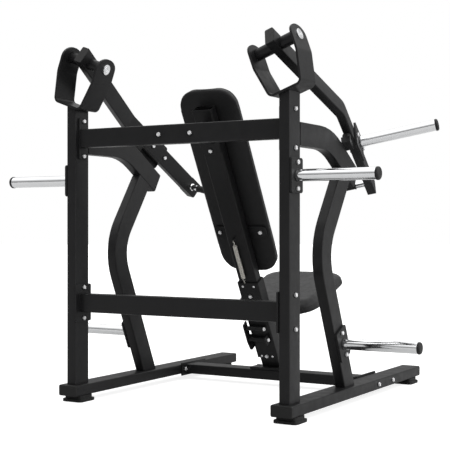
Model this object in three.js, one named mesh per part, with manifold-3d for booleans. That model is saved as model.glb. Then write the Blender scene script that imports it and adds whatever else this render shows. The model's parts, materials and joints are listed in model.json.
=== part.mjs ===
// Plate-loaded chest press machine with two independent press arms and a sliding seat.
// Millimetres. +Z is up, the user sits facing -Y, and the left side is +X.
// The origin lies on the floor under the middle of the machine.
import * as THREE from 'three';
import { mergeVertices } from 'three/addons/utils/BufferGeometryUtils.js';
import Module from 'manifold-3d';

const wasm = await Module();
wasm.setup();

// ---------------------------------------------------------------- driving dimensions

const GAP = 0.3; // clearance between two pieces that touch
const WELD_DEPTH = 1; // how far welded stock runs into its neighbour
const TUBE_WALL = 3;
const TUBE_WIDTH = 100; // wide side of the frame tube
const TUBE_DEPTH = 50; // narrow side of the frame tube
const TUBE_CORNER = 7; // outer corner radius of the frame tube
const UPRIGHT_REAR_Y = 700; // rear faces of the uprights
const SIDE_X = 545; // centre plane of each side frame

const RAIL_BOTTOM_Z = 30;
const RAIL_TOP_Z = RAIL_BOTTOM_Z + TUBE_DEPTH;
const RAIL_REAR = -25; // distances forward of the uprights' rear faces
const RAIL_FRONT = 1425;
const RAIL_CAP = { thickness: 10, corner: 12, plug: 16, plugClearance: 1 };
const FOOT = { size: 112, upperSize: 96, lowerHeight: 14, corner: 16, rear: 56, front: 1338 };
const CROSS_TUBE_FORWARD = 933;
const CROSS_FLANGE = { length: 230, height: 66, thickness: 8, forward: 960, boltSpacing: 174 };

const BEAM_FORWARD = 50; // centre of both cross beams
const BEAM_HEIGHT = 85;
const UPPER_BEAM = { z: 1200, plate: { width: 60, height: 187, thickness: 8 }, boltSpacing: 160 };
const LOWER_BEAM = { z: 451, plate: { width: 110, height: 170, thickness: 8 }, boltSpacing: 140 };
const BEAM_VENT_RADIUS = 12;
const POST_FLANGE_BOLT_X = 80;

const BRACE = { z: 1181, bend: 402, endForward: 664, endZ: 1020, bendRadius: 350, endPlate: 5 };
const LEG = {
  foot: { forward: 598, z: 81 },
  bend: { forward: 322, z: 694 },
  top: { forward: 540, z: 1005 },
  bendRadius: 230,
};
const LEG_EMBED = 55; // extra length on both leg ends before they are trimmed

const YOKE_TILT = 20; // outward lean of each pivot, degrees
const PIVOT = { x: 487, forward: 51, z: 1544 };
const YOKE = {
  thickness: 10, floor: -205, floorHalfWidth: 74, shoulder: -70, earX: 103, headHeight: 47,
  halfDepth: 67, bendRadius: 24, shoulderRadius: 60,
};
const SHAFT = { radius: 15, earHoleRadius: 15.6, discRadius: 24, discThickness: 5 };
const PIVOT_TUBE = { radius: 26, bore: 17, halfLength: 96 };

const ARM_SLOPE = 29.4; // fall of the upper arm, degrees below the pivot's own level
const ARM_BEND = 16.6; // inward bend of the lower arm, degrees
const ARM = {
  height: 80, thickness: 40, wall: 4, offset: 3, tail: 60, bend: 496, bendRadius: 120, lower: 616,
  corner: 6, endCorner: 10, solidEnd: 90,
};
const ARM_CAP = { thickness: 6, plug: 14, plugClearance: 1 };

const HORN = {
  length: 371, stubRadius: 19, sleeveRadius: 25, sleeveBore: 19.6, capRadius: 27, capLength: 15,
  capRound: 5, weldRadius: 27, weldLength: 3,
};
const HORN_PLATE = { plateLength: 144, plateWidth: 102, thickness: 10, corner: 10, boltSpacing: 108 };
const STORAGE_HORN = { upper: { forward: 50, z: 1008 }, lower: { forward: 508, z: 280 } };
const LOADING_HORN = { along: 250, length: 372, plateWidth: 130, boltSpacing: 104 };
const GRIP = {
  along: 568, collarRadius: 15, collarLength: 46, barRadius: 12, radius: 16.5, bore: 12.5,
  length: 120, endRadius: 18, endLength: 8,
};
const STOP = { along: 134, inward: 8, width: 40, length: 62, top: -73, bottom: -104, radius: 19 };
const STOP_CLEARANCE = 1;

const POST_TILT = 28.6; // lean of the seat post from vertical, degrees
const POST = {
  forward: 494, z: 858.4, wall: 4, top: 526, bottom: -900,
  plateHalfX: 105, plateThickness: 12, plateBoltX: 82,
};
const POST_BASE = { rear: 880, front: 986 };
const BRACKET = { width: 64, height: 60, z: 1205, flangeHalfX: 105, flangeHeight: 76, plate: 8 };
const BRACKET_PAD = { halfX: 50, low: 312, high: 440, bolt: 330 };
const PAD_BRACKET = { halfX: 140, height: 62, lower: -127, upper: 400, boltX: 110, corner: 16 };
const PAD_BRACKET_THICKNESS = 9.4;
const BACK_PAD = { halfX: 150, bottom: -344, top: 593, near: 60.3, far: 106, corner: 92 };

const SLEEVE = {
  width: 116, depth: 66, wall: 6, top: -376, bottom: -812, upperBolt: -450, lowerBolt: -800,
};
const SEAT_TILT = 20; // rise of the seat towards its front edge, degrees
const SEAT = {
  forward: 890, z: 402, halfX: 226, length: 460, thickness: 48, rearCorner: 120, frontCorner: 86,
};
const SEAT_PLATE = { halfX: 115, rear: 55, front: 385, thickness: 6 };
const GUSSET = { x: 44, thickness: 8, inset: 20, nose: 22, toe: 60 };
const LATCH = {
  plateX: 64, plateThickness: 8, innerX: -30, y: 24, radius: 11, pivot: -692, roller: -628,
};
// The latch plate seen from the side: depth behind the post, height along it.
const LATCH_OUTLINE = [
  [8, -672], [-60, -720], [-60, -750], [20, -757], [30, -752], [40, -700], [40, -604], [8, -596],
];
const LEVER = { radius: 7, start: -55, length: 150, z: -735, sides: 12 };
const KNOB = { radius: 16, start: -200, length: 60, sides: 16 };
const LUG = { thickness: 8, height: 46 };
const SPRING = {
  x: 8, y: 15, radius: 11, top: -165, bottom: -345, sides: 16, hookRadius: 1.6, hookSides: 8,
};
const SPRING_ENDS = { top: -137, bottom: -371 };
const SPRING_PEG = { radius: 4, length: 25, z: -128, sides: 12 };

const BOLT = { head: 9.5, height: 8 }; // hexagon head: radius to a corner, and height
const ROUND_SIDES = 20;
const BOLT_SIDES = 6;
const CORNER_SEGMENTS = 1;
const PAD_CORNER_SEGMENTS = 6;
const BEND_STEP = 7; // degrees of turn to one facet of a bend

const X = new THREE.Vector3(1, 0, 0);
const Y = new THREE.Vector3(0, 1, 0);
const Z = new THREE.Vector3(0, 0, 1);
const ORIGIN = new THREE.Vector3();
const point = (x, y, z) => new THREE.Vector3(x, y, z);
const forward = (distance) => UPRIGHT_REAR_Y - distance;
const radians = THREE.MathUtils.degToRad;

// ---------------------------------------------------------------- finishes

const FINISHES = {
  frame_paint: { color: 0x17181a, roughness: 0.42, metalness: 0.25 },
  chrome: { color: 0xd9dcdf, roughness: 0.12, metalness: 1 },
  zinc: { color: 0xb9bcbf, roughness: 0.35, metalness: 1 },
  rubber: { color: 0x101011, roughness: 0.8, metalness: 0 },
  plastic: { color: 0x161617, roughness: 0.5, metalness: 0 },
  vinyl: { color: 0x141415, roughness: 0.55, metalness: 0 },
};
const finish = (name) => new THREE.MeshStandardMaterial(FINISHES[name]);

// ---------------------------------------------------------------- solids

function toSolid(geometry) {
  const bare = geometry.clone();
  bare.deleteAttribute('normal');
  bare.deleteAttribute('uv');
  const merged = mergeVertices(bare, 1e-3);
  return new wasm.Manifold(new wasm.Mesh({
    numProp: 3,
    vertProperties: Float32Array.from(merged.attributes.position.array),
    triVerts: Uint32Array.from(merged.index.array),
  }));
}

function toGeometry(solid) {
  const mesh = solid.getMesh();
  const geometry = new THREE.BufferGeometry();
  geometry.setAttribute('position', new THREE.BufferAttribute(mesh.vertProperties, 3));
  geometry.setIndex(new THREE.BufferAttribute(mesh.triVerts, 1));
  geometry.computeVertexNormals();
  return geometry;
}

function join(...geometries) {
  return toGeometry(geometries.map(toSolid).reduce((whole, piece) => whole.add(piece)));
}

function cut(geometry, ...cutters) {
  const start = toSolid(geometry);
  return toGeometry(cutters.map(toSolid).reduce((rest, piece) => rest.subtract(piece), start));
}

function common(first, second) {
  return toGeometry(toSolid(first).intersect(toSolid(second)));
}

function box(width, depth, height, centre = ORIGIN) {
  return new THREE.BoxGeometry(width, depth, height).translate(centre.x, centre.y, centre.z);
}

// A rod from a point along a direction.
function rod(radius, length, from, direction, sides = ROUND_SIDES) {
  const geometry = new THREE.CylinderGeometry(radius, radius, length, sides);
  geometry.translate(0, length / 2, 0);
  geometry.applyQuaternion(new THREE.Quaternion().setFromUnitVectors(Y, direction));
  return geometry.translate(from.x, from.y, from.z);
}

function boltHead(from, direction) {
  const start = from.clone().addScaledVector(direction, -WELD_DEPTH);
  return rod(BOLT.head, BOLT.height + WELD_DEPTH, start, direction, BOLT_SIDES);
}

function roundedRect(width, height, radius, shape = new THREE.Shape()) {
  const right = width / 2 - radius;
  const top = height / 2 - radius;
  shape.moveTo(right, -height / 2);
  shape.absarc(right, -top, radius, -Math.PI / 2, 0, false);
  shape.absarc(right, top, radius, 0, Math.PI / 2, false);
  shape.absarc(-right, top, radius, Math.PI / 2, Math.PI, false);
  shape.absarc(-right, -top, radius, Math.PI, 1.5 * Math.PI, false);
  shape.closePath();
  return shape;
}

function rectangleHole(width, height) {
  const hole = new THREE.Path();
  hole.moveTo(-width / 2, -height / 2);
  hole.lineTo(-width / 2, height / 2);
  hole.lineTo(width / 2, height / 2);
  hole.lineTo(width / 2, -height / 2);
  hole.closePath();
  return hole;
}

function tubeSection(width, height, wall, corner = TUBE_CORNER) {
  const shape = roundedRect(width, height, corner);
  shape.holes.push(rectangleHole(width - 2 * wall, height - 2 * wall));
  return shape;
}

function ringSection(outer, inner) {
  const shape = new THREE.Shape().absarc(0, 0, outer, 0, 2 * Math.PI, false);
  shape.holes.push(new THREE.Path().absarc(0, 0, inner, 0, 2 * Math.PI, true));
  return shape;
}

// A section extruded from a point, with the section's own x and y along two given axes.
function prism(section, length, from, sectionX, sectionY, curveSegments = CORNER_SEGMENTS) {
  const geometry = new THREE.ExtrudeGeometry(section, { depth: length, bevelEnabled: false, curveSegments });
  const along = sectionX.clone().cross(sectionY);
  const basis = new THREE.Matrix4().makeBasis(sectionX, sectionY, along).setPosition(from);
  return geometry.applyMatrix4(basis);
}

function polygon(points) {
  return new THREE.Shape(points.map(([x, y]) => new THREE.Vector2(x, y)));
}

// A centreline of straight runs in one plane, with a round bend at each inner corner.
class BentCentreline extends THREE.Curve {
  constructor(corners, radii, planeNormal) {
    super();
    this.planeNormal = planeNormal;
    this.stations = [];
    const last = corners.length - 1;
    const run = (i) => corners[i + 1].clone().sub(corners[i]).normalize();
    this.stations.push({ position: corners[0], tangent: run(0) });
    for (let i = 1; i < last; i += 1) {
      const arriving = run(i - 1);
      const leaving = run(i);
      const turn = arriving.angleTo(leaving);
      const inward = leaving.clone().addScaledVector(arriving, -leaving.dot(arriving)).normalize();
      const setback = radii[i - 1] * Math.tan(turn / 2);
      const bendStart = corners[i].clone().addScaledVector(arriving, -setback);
      const centre = bendStart.clone().addScaledVector(inward, radii[i - 1]);
      const bendSteps = Math.ceil(turn / radians(BEND_STEP));
      for (let step = 0; step <= bendSteps; step += 1) {
        const angle = (turn * step) / bendSteps;
        const position = centre.clone()
          .addScaledVector(inward, -radii[i - 1] * Math.cos(angle))
          .addScaledVector(arriving, radii[i - 1] * Math.sin(angle));
        const tangent = arriving.clone().multiplyScalar(Math.cos(angle))
          .addScaledVector(inward, Math.sin(angle));
        this.stations.push({ position, tangent });
      }
    }
    this.stations.push({ position: corners[last], tangent: run(last - 1) });
  }

  get steps() {
    return this.stations.length - 1;
  }

  getSpacedPoints() {
    return this.stations.map((station) => station.position.clone());
  }

  computeFrenetFrames() {
    const tangents = this.stations.map((station) => station.tangent.clone());
    const normals = tangents.map(() => this.planeNormal.clone());
    const binormals = tangents.map((tangent) => tangent.clone().cross(this.planeNormal));
    return { tangents, normals, binormals };
  }
}

// The section's own x lies along the centreline's plane normal.
function sweep(section, centreline) {
  return new THREE.ExtrudeGeometry(section, {
    extrudePath: centreline,
    steps: centreline.steps,
    bevelEnabled: false,
    curveSegments: CORNER_SEGMENTS,
  });
}

function piece(name, geometry, finishName) {
  const mesh = new THREE.Mesh(toGeometry(toSolid(geometry)), finish(finishName));
  mesh.name = name;
  return mesh;
}

function frameGroup(position, rotation = [0, 0, 0]) {
  const group = new THREE.Group();
  group.position.copy(position);
  group.rotation.set(...rotation);
  group.updateMatrix();
  return group;
}

// ---------------------------------------------------------------- shared frames

const yokeFrame = () => frameGroup(
  point(PIVOT.x, forward(PIVOT.forward), PIVOT.z), [0, -radians(YOKE_TILT), 0],
);
const armFrame = () => frameGroup(ORIGIN, [radians(ARM_SLOPE), 0, 0]);
const lowerArmFrame = () => frameGroup(point(ARM.offset, -ARM.bend, 0), [0, 0, -radians(ARM_BEND)]);
const postFrame = () => frameGroup(point(0, forward(POST.forward), POST.z), [-radians(POST_TILT), 0, 0]);
const seatFrame = () => frameGroup(point(0, forward(SEAT.forward), SEAT.z), [-radians(SEAT_TILT), 0, 0]);

const yokeMatrix = yokeFrame().matrix;
const lowerArmMatrix = yokeMatrix.clone().multiply(armFrame().matrix).multiply(lowerArmFrame().matrix);
const postMatrix = postFrame().matrix;
const seatInPost = postMatrix.clone().invert().multiply(seatFrame().matrix);

// ---------------------------------------------------------------- base

function baseRail() {
  const length = RAIL_FRONT - RAIL_REAR - 2 * (RAIL_CAP.thickness + GAP);
  const start = point(SIDE_X, forward(RAIL_FRONT) + RAIL_CAP.thickness + GAP, RAIL_BOTTOM_Z + TUBE_DEPTH / 2);
  const rail = prism(tubeSection(TUBE_DEPTH, TUBE_WIDTH, TUBE_WALL), length, start, Z, X);
  const boltHeads = [-1, 1].map((end) => boltHead(point(
    SIDE_X + TUBE_WIDTH / 2,
    forward(CROSS_FLANGE.forward + (end * CROSS_FLANGE.boltSpacing) / 2),
    start.z,
  ), X));
  return join(rail, ...boltHeads);
}

// An end cap whose own +Y points away from the tube it closes.
function railCap() {
  const half = TUBE_WIDTH / 2;
  const outline = new THREE.Shape();
  outline.moveTo(-half, 0);
  outline.lineTo(half, 0);
  outline.absarc(half - RAIL_CAP.thickness, 0, RAIL_CAP.thickness, 0, Math.PI / 2, false);
  outline.absarc(RAIL_CAP.thickness - half, 0, RAIL_CAP.thickness, Math.PI / 2, Math.PI, false);
  outline.closePath();
  const face = prism(outline, TUBE_DEPTH, point(0, 0, -TUBE_DEPTH / 2), X, Y);
  const inset = 2 * (TUBE_WALL + RAIL_CAP.plugClearance);
  const plugMiddle = point(0, WELD_DEPTH - RAIL_CAP.plug / 2, 0);
  const plug = box(TUBE_WIDTH - inset, RAIL_CAP.plug, TUBE_DEPTH - inset, plugMiddle);
  return join(face, plug);
}

function placedRailCap(name, distance, facing) {
  const cap = piece(name, railCap(), 'plastic');
  cap.position.set(SIDE_X, forward(distance), RAIL_BOTTOM_Z + TUBE_DEPTH / 2);
  cap.rotation.z = facing;
  return cap;
}

function foot(name, distance) {
  const lower = prism(roundedRect(FOOT.size, FOOT.size, FOOT.corner), FOOT.lowerHeight, ORIGIN, X, Y);
  const upperHeight = RAIL_BOTTOM_Z - GAP;
  const upper = prism(roundedRect(FOOT.upperSize, FOOT.upperSize, FOOT.corner), upperHeight, ORIGIN, X, Y);
  const mesh = piece(name, join(lower, upper), 'rubber');
  mesh.position.set(SIDE_X, forward(distance), 0);
  return mesh;
}

function frontCrossTube() {
  const railInner = SIDE_X - TUBE_WIDTH / 2 - GAP;
  const y = forward(CROSS_TUBE_FORWARD);
  const z = RAIL_BOTTOM_Z + TUBE_DEPTH / 2;
  const section = tubeSection(TUBE_WIDTH, TUBE_DEPTH, TUBE_WALL);
  const tube = prism(section, 2 * railInner, point(-railInner, y, z), Y, Z);
  const flanges = [-1, 1].map((side) => {
    const x = side * (railInner - CROSS_FLANGE.thickness / 2);
    const centre = point(x, forward(CROSS_FLANGE.forward), z);
    const plate = box(CROSS_FLANGE.thickness, CROSS_FLANGE.length, CROSS_FLANGE.height, centre);
    const window = box(
      2 * CROSS_FLANGE.thickness, TUBE_WIDTH - 2 * TUBE_WALL, TUBE_DEPTH - 2 * TUBE_WALL, point(x, y, z),
    );
    return cut(plate, window);
  });
  const nuts = [-1, 1].flatMap((side) => [-1, 1].map((end) => boltHead(point(
    side * (railInner - CROSS_FLANGE.thickness),
    forward(CROSS_FLANGE.forward + (end * CROSS_FLANGE.boltSpacing) / 2),
    z,
  ), point(-side, 0, 0))));
  return join(tube, ...flanges, ...nuts);
}

// ---------------------------------------------------------------- uprights and beams

function upright() {
  const tube = prism(
    tubeSection(TUBE_DEPTH, TUBE_WIDTH, TUBE_WALL), PIVOT.z - RAIL_TOP_Z,
    point(SIDE_X, forward(BEAM_FORWARD), RAIL_TOP_Z + GAP), X, Y,
  );
  const trimHeight = 3 * TUBE_WIDTH;
  const yokeUnderside = YOKE.floor - YOKE.thickness / 2 - GAP;
  const topTrim = box(2 * trimHeight, trimHeight, trimHeight, point(0, 0, yokeUnderside + trimHeight / 2))
    .applyMatrix4(yokeMatrix);
  const boltHeads = [UPPER_BEAM, LOWER_BEAM].flatMap((beam) => [-1, 1].map((end) => boltHead(point(
    SIDE_X + TUBE_DEPTH / 2, forward(BEAM_FORWARD), beam.z + (end * beam.boltSpacing) / 2,
  ), X)));
  return join(cut(tube, topTrim), ...boltHeads);
}

function crossBeam(beam) {
  const end = SIDE_X - TUBE_DEPTH / 2 - GAP;
  const y = forward(BEAM_FORWARD);
  const plateInner = end - beam.plate.thickness;
  const section = tubeSection(TUBE_DEPTH, BEAM_HEIGHT, TUBE_WALL);
  const tubeEnd = plateInner + WELD_DEPTH;
  const tube = prism(section, 2 * tubeEnd, point(-tubeEnd, y, beam.z), Y, Z);
  const plates = [-1, 1].map((side) => {
    const outline = roundedRect(beam.plate.width, beam.plate.height, TUBE_CORNER);
    const x = side > 0 ? plateInner : -end;
    const plate = prism(outline, beam.plate.thickness, point(x, y, beam.z), Y, Z);
    const ventStart = point(x - beam.plate.thickness, y, beam.z);
    const vent = rod(BEAM_VENT_RADIUS, 3 * beam.plate.thickness, ventStart, X);
    const heads = [-1, 1].map((level) => boltHead(
      point(side * plateInner, y, beam.z + (level * beam.boltSpacing) / 2), point(-side, 0, 0),
    ));
    return join(cut(plate, vent), ...heads);
  });
  return join(tube, ...plates);
}

function upperBeam() {
  const heads = [-1, 1].map((side) => boltHead(
    point(side * POST_FLANGE_BOLT_X, forward(BEAM_FORWARD - TUBE_DEPTH / 2), UPPER_BEAM.z), Y,
  ));
  return join(crossBeam(UPPER_BEAM), ...heads);
}

// ---------------------------------------------------------------- side braces and legs

function braceCentreline(start) {
  return new BentCentreline([
    point(SIDE_X, forward(start), BRACE.z),
    point(SIDE_X, forward(BRACE.bend), BRACE.z),
    point(SIDE_X, forward(BRACE.endForward), BRACE.endZ),
  ], [BRACE.bendRadius], X);
}

// The brace carries the bracket that the press arm's rubber stop stands on.
function brace() {
  const line = braceCentreline(TUBE_WIDTH + GAP);
  const tube = sweep(tubeSection(TUBE_DEPTH, TUBE_WIDTH, TUBE_WALL), line);
  const end = line.stations.at(-1);
  const endPlate = prism(
    roundedRect(TUBE_DEPTH, TUBE_WIDTH, TUBE_CORNER), BRACE.endPlate,
    end.position.clone().addScaledVector(end.tangent, -WELD_DEPTH), X.clone().negate(),
    end.tangent.clone().cross(X.clone().negate()),
  );
  const stopHeight = STOP.top - STOP.bottom;
  const stopBracket = box(
    STOP.width, STOP.length, stopHeight,
    point(-STOP.inward, -STOP.along, STOP.bottom + stopHeight / 2),
  ).applyMatrix4(lowerArmMatrix);
  return join(tube, endPlate, stopBracket);
}

function frontLeg() {
  const at = ({ forward: distance, z }) => point(SIDE_X, forward(distance), z);
  const lowerRun = at(LEG.bend).sub(at(LEG.foot)).normalize();
  const upperRun = at(LEG.top).sub(at(LEG.bend)).normalize();
  const bottom = at(LEG.foot).addScaledVector(lowerRun, -LEG_EMBED);
  const top = at(LEG.top).addScaledVector(upperRun, LEG_EMBED);
  const line = new BentCentreline([bottom, at(LEG.bend), top], [LEG.bendRadius], X);
  const tube = sweep(tubeSection(TUBE_DEPTH, TUBE_WIDTH, TUBE_WALL), line);
  const grown = roundedRect(TUBE_DEPTH + 2, TUBE_WIDTH + 2 * GAP, GAP);
  const braceSpace = sweep(grown, braceCentreline(TUBE_WIDTH));
  const trim = 4 * TUBE_WIDTH;
  const railSpace = box(trim, trim, trim, point(SIDE_X, bottom.y, RAIL_TOP_Z + GAP - trim / 2));
  return cut(tube, braceSpace, railSpace);
}

// ---------------------------------------------------------------- arm pivots

function yoke() {
  const centreline = new BentCentreline([
    point(YOKE.earX, 0, YOKE.headHeight + GAP),
    point(YOKE.earX, 0, YOKE.shoulder),
    point(YOKE.floorHalfWidth, 0, YOKE.floor),
    point(-YOKE.floorHalfWidth, 0, YOKE.floor),
    point(-YOKE.earX, 0, YOKE.shoulder),
    point(-YOKE.earX, 0, YOKE.headHeight + GAP),
  ], [YOKE.shoulderRadius, YOKE.bendRadius, YOKE.bendRadius, YOKE.shoulderRadius], Y);
  const barWidth = 2 * YOKE.halfDepth + 2 * YOKE.thickness;
  const bar = sweep(polygon([
    [-barWidth / 2, -YOKE.thickness / 2], [barWidth / 2, -YOKE.thickness / 2],
    [barWidth / 2, YOKE.thickness / 2], [-barWidth / 2, YOKE.thickness / 2],
  ]), centreline);
  const outline = new THREE.Shape();
  outline.moveTo(YOKE.halfDepth, YOKE.floor - YOKE.thickness);
  outline.lineTo(YOKE.halfDepth, 0);
  outline.absellipse(0, 0, YOKE.halfDepth, YOKE.headHeight, 0, Math.PI, false);
  outline.lineTo(-YOKE.halfDepth, YOKE.floor - YOKE.thickness);
  outline.closePath();
  const reach = YOKE.earX + 2 * YOKE.thickness;
  const sideProfile = prism(outline, 2 * reach, point(-reach, 0, 0), Y, Z, PAD_CORNER_SEGMENTS);
  const shaftHole = rod(SHAFT.earHoleRadius, 2 * reach, point(-reach, 0, 0), X);
  return cut(common(bar, sideProfile), shaftHole);
}

function pivotShaft() {
  const earFace = YOKE.earX + YOKE.thickness / 2 + GAP;
  const tip = earFace + SHAFT.discThickness;
  const shaft = rod(SHAFT.radius, 2 * tip, point(-tip, 0, 0), X);
  const discs = [earFace, -tip].map((x) => rod(SHAFT.discRadius, SHAFT.discThickness, point(x, 0, 0), X));
  return join(shaft, ...discs);
}

// ---------------------------------------------------------------- press arms

function armCentreline(lowerLength) {
  const bend = point(ARM.offset, -ARM.bend, 0);
  const lowerRun = point(-Math.sin(radians(ARM_BEND)), -Math.cos(radians(ARM_BEND)), 0);
  return new BentCentreline([
    point(ARM.offset, ARM.tail, 0), bend, bend.clone().addScaledVector(lowerRun, lowerLength),
  ], [ARM.bendRadius], Z);
}

function pressArm() {
  const shell = sweep(
    tubeSection(ARM.height, ARM.thickness, ARM.wall, ARM.corner), armCentreline(ARM.lower - ARM.endCorner),
  );
  const endBlock = prism(
    roundedRect(ARM.solidEnd, ARM.height, ARM.endCorner), ARM.thickness,
    point(-ARM.thickness / 2, ARM.solidEnd / 2 - ARM.lower, 0), Y, Z,
  );
  const endBlockMatrix = lowerArmFrame().matrix;
  const pivotTube = rod(PIVOT_TUBE.radius, 2 * PIVOT_TUBE.halfLength, point(-PIVOT_TUBE.halfLength, 0, 0), X);
  const boreReach = PIVOT_TUBE.halfLength + WELD_DEPTH;
  const bore = rod(PIVOT_TUBE.bore, 2 * boreReach, point(-boreReach, 0, 0), X);
  const boltHeads = [-1, 1].map((end) => boltHead(
    point(-ARM.thickness / 2, -LOADING_HORN.along + (end * LOADING_HORN.boltSpacing) / 2, 0), point(-1, 0, 0),
  ).applyMatrix4(endBlockMatrix));
  return cut(join(shell, endBlock.applyMatrix4(endBlockMatrix), pivotTube, ...boltHeads), bore);
}

function armCap() {
  const section = roundedRect(ARM.thickness, ARM.height, ARM.corner);
  const face = prism(section, ARM_CAP.thickness, ORIGIN, X.clone().negate(), Z);
  const inset = 2 * (ARM.wall + ARM_CAP.plugClearance);
  const plugMiddle = point(0, WELD_DEPTH - ARM_CAP.plug / 2, 0);
  const plug = box(ARM.thickness - inset, ARM_CAP.plug, ARM.height - inset, plugMiddle);
  return join(face, plug);
}

// ---------------------------------------------------------------- weight horns, growing along +X

function hornMount(plateWidth, boltSpacing, length) {
  const plate = prism(
    roundedRect(plateWidth, HORN_PLATE.plateLength, HORN_PLATE.corner), HORN_PLATE.thickness, ORIGIN, Y, Z,
  );
  const stub = rod(HORN.stubRadius, length - HORN.capLength - GAP, ORIGIN, X);
  const weld = rod(HORN.weldRadius, HORN_PLATE.thickness + HORN.weldLength, ORIGIN, X);
  const boltHeads = [-1, 1].map((end) => boltHead(
    point(HORN_PLATE.thickness, 0, (end * boltSpacing) / 2), X,
  ));
  return join(plate, stub, weld, ...boltHeads);
}

function hornSleeve(length) {
  const start = HORN_PLATE.thickness + HORN.weldLength + GAP;
  const reach = length - HORN.capLength - GAP - start;
  const section = ringSection(HORN.sleeveRadius, HORN.sleeveBore);
  return prism(section, reach, point(start, 0, 0), Y, Z, ROUND_SIDES / 2);
}

function hornCap(length) {
  const start = length - HORN.capLength;
  const profile = [
    new THREE.Vector2(0, 0),
    new THREE.Vector2(HORN.capRadius, 0),
    new THREE.Vector2(HORN.capRadius, HORN.capLength - HORN.capRound),
    new THREE.Vector2(HORN.capRadius - HORN.capRound, HORN.capLength),
    new THREE.Vector2(0, HORN.capLength),
  ];
  const cap = new THREE.LatheGeometry(profile, ROUND_SIDES);
  cap.applyQuaternion(new THREE.Quaternion().setFromUnitVectors(Y, X));
  return cap.translate(start, 0, 0);
}

function horn(name, group, options = {}) {
  const { length, plateWidth, boltSpacing } = { ...HORN_PLATE, length: HORN.length, ...options };
  group.add(piece(`${name}_mount`, hornMount(plateWidth, boltSpacing, length), 'frame_paint'));
  group.add(piece(`${name}_sleeve`, hornSleeve(length), 'chrome'));
  group.add(piece(`${name}_cap`, hornCap(length), 'plastic'));
  return group;
}

// ---------------------------------------------------------------- hand grips, growing along -X

function gripBar() {
  const inward = point(-1, 0, 0);
  const collar = rod(GRIP.collarRadius, GRIP.collarLength, ORIGIN, inward);
  const barLength = GRIP.collarLength + GRIP.length + 2 * GAP + GRIP.endLength;
  const bar = rod(GRIP.barRadius, barLength, ORIGIN, inward);
  const end = rod(GRIP.endRadius, GRIP.endLength, point(GRIP.endLength - barLength, 0, 0), inward);
  return join(collar, bar, end);
}

function gripSleeve() {
  const section = ringSection(GRIP.radius, GRIP.bore);
  const start = point(-GRIP.collarLength - GAP - GRIP.length, 0, 0);
  return prism(section, GRIP.length, start, Y, Z, ROUND_SIDES / 2);
}

function leftArm() {
  const yokeGroup = yokeFrame();
  const armGroup = armFrame();
  const lowerGroup = lowerArmFrame();
  const cap = piece('left_arm_cap', armCap(), 'plastic');
  cap.position.set(ARM.offset, ARM.tail + GAP, 0);
  armGroup.add(piece('left_press_arm', pressArm(), 'frame_paint'), cap, lowerGroup);

  const hornGroup = frameGroup(
    point(ARM.thickness / 2 + GAP, -LOADING_HORN.along, 0), [Math.PI / 2, 0, 0],
  );
  lowerGroup.add(horn('left_loading_horn', hornGroup, {
    length: LOADING_HORN.length,
    plateWidth: LOADING_HORN.plateWidth,
    boltSpacing: LOADING_HORN.boltSpacing,
  }));

  const gripGroup = frameGroup(point(-ARM.thickness / 2 - GAP, -GRIP.along, 0));
  gripGroup.add(piece('left_grip_bar', gripBar(), 'chrome'));
  gripGroup.add(piece('left_grip_sleeve', gripSleeve(), 'rubber'));
  lowerGroup.add(gripGroup);
  yokeGroup.add(armGroup);
  return yokeGroup;
}

// ---------------------------------------------------------------- one side of the frame

function leftStopBumper() {
  const contact = -ARM.height / 2 - STOP_CLEARANCE;
  const bumper = rod(STOP.radius, contact - STOP.top - GAP, point(0, 0, STOP.top + GAP), Z);
  const group = new THREE.Group();
  const mesh = piece('left_arm_stop', bumper, 'rubber');
  mesh.position.set(-STOP.inward, -STOP.along, 0);
  const lowerGroup = lowerArmFrame();
  const armGroup = armFrame();
  const yokeGroup = yokeFrame();
  lowerGroup.add(mesh);
  armGroup.add(lowerGroup);
  yokeGroup.add(armGroup);
  return group.add(yokeGroup);
}

function leftSide() {
  const side = new THREE.Group();
  side.add(piece('left_base_rail', baseRail(), 'frame_paint'));
  side.add(placedRailCap('left_rear_rail_cap', RAIL_REAR + RAIL_CAP.thickness, 0));
  side.add(placedRailCap('left_front_rail_cap', RAIL_FRONT - RAIL_CAP.thickness, Math.PI));
  side.add(foot('left_rear_foot', FOOT.rear));
  side.add(foot('left_front_foot', FOOT.front));
  side.add(piece('left_upright', upright(), 'frame_paint'));
  side.add(piece('left_brace', brace(), 'frame_paint'));
  side.add(piece('left_front_leg', frontLeg(), 'frame_paint'));

  const pivotGroup = yokeFrame();
  pivotGroup.add(piece('left_yoke', yoke(), 'frame_paint'));
  pivotGroup.add(piece('left_pivot_shaft', pivotShaft(), 'chrome'));
  side.add(pivotGroup, leftArm(), leftStopBumper());

  const outerX = SIDE_X + TUBE_DEPTH / 2 + GAP;
  const legLean = Math.atan2(LEG.foot.forward - LEG.bend.forward, LEG.bend.z - LEG.foot.z);
  const { upper, lower } = STORAGE_HORN;
  side.add(horn('left_upper_storage_horn', frameGroup(point(outerX, forward(upper.forward), upper.z))));
  side.add(horn(
    'left_lower_storage_horn', frameGroup(point(outerX, forward(lower.forward), lower.z), [-legLean, 0, 0]),
  ));
  return side;
}

function flipped(geometry) {
  const copy = geometry.clone().applyMatrix4(new THREE.Matrix4().makeScale(-1, 1, 1));
  const index = copy.index.array;
  for (let i = 0; i < index.length; i += 3) {
    [index[i + 1], index[i + 2]] = [index[i + 2], index[i + 1]];
  }
  copy.computeVertexNormals();
  return copy;
}

function mirrored(source) {
  const copy = source.isMesh
    ? new THREE.Mesh(flipped(source.geometry), source.material.clone())
    : new THREE.Group();
  copy.name = source.name.replace('left_', 'right_');
  copy.position.set(-source.position.x, source.position.y, source.position.z);
  copy.rotation.set(source.rotation.x, -source.rotation.y, -source.rotation.z);
  source.children.forEach((child) => copy.add(mirrored(child)));
  return copy;
}

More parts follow.
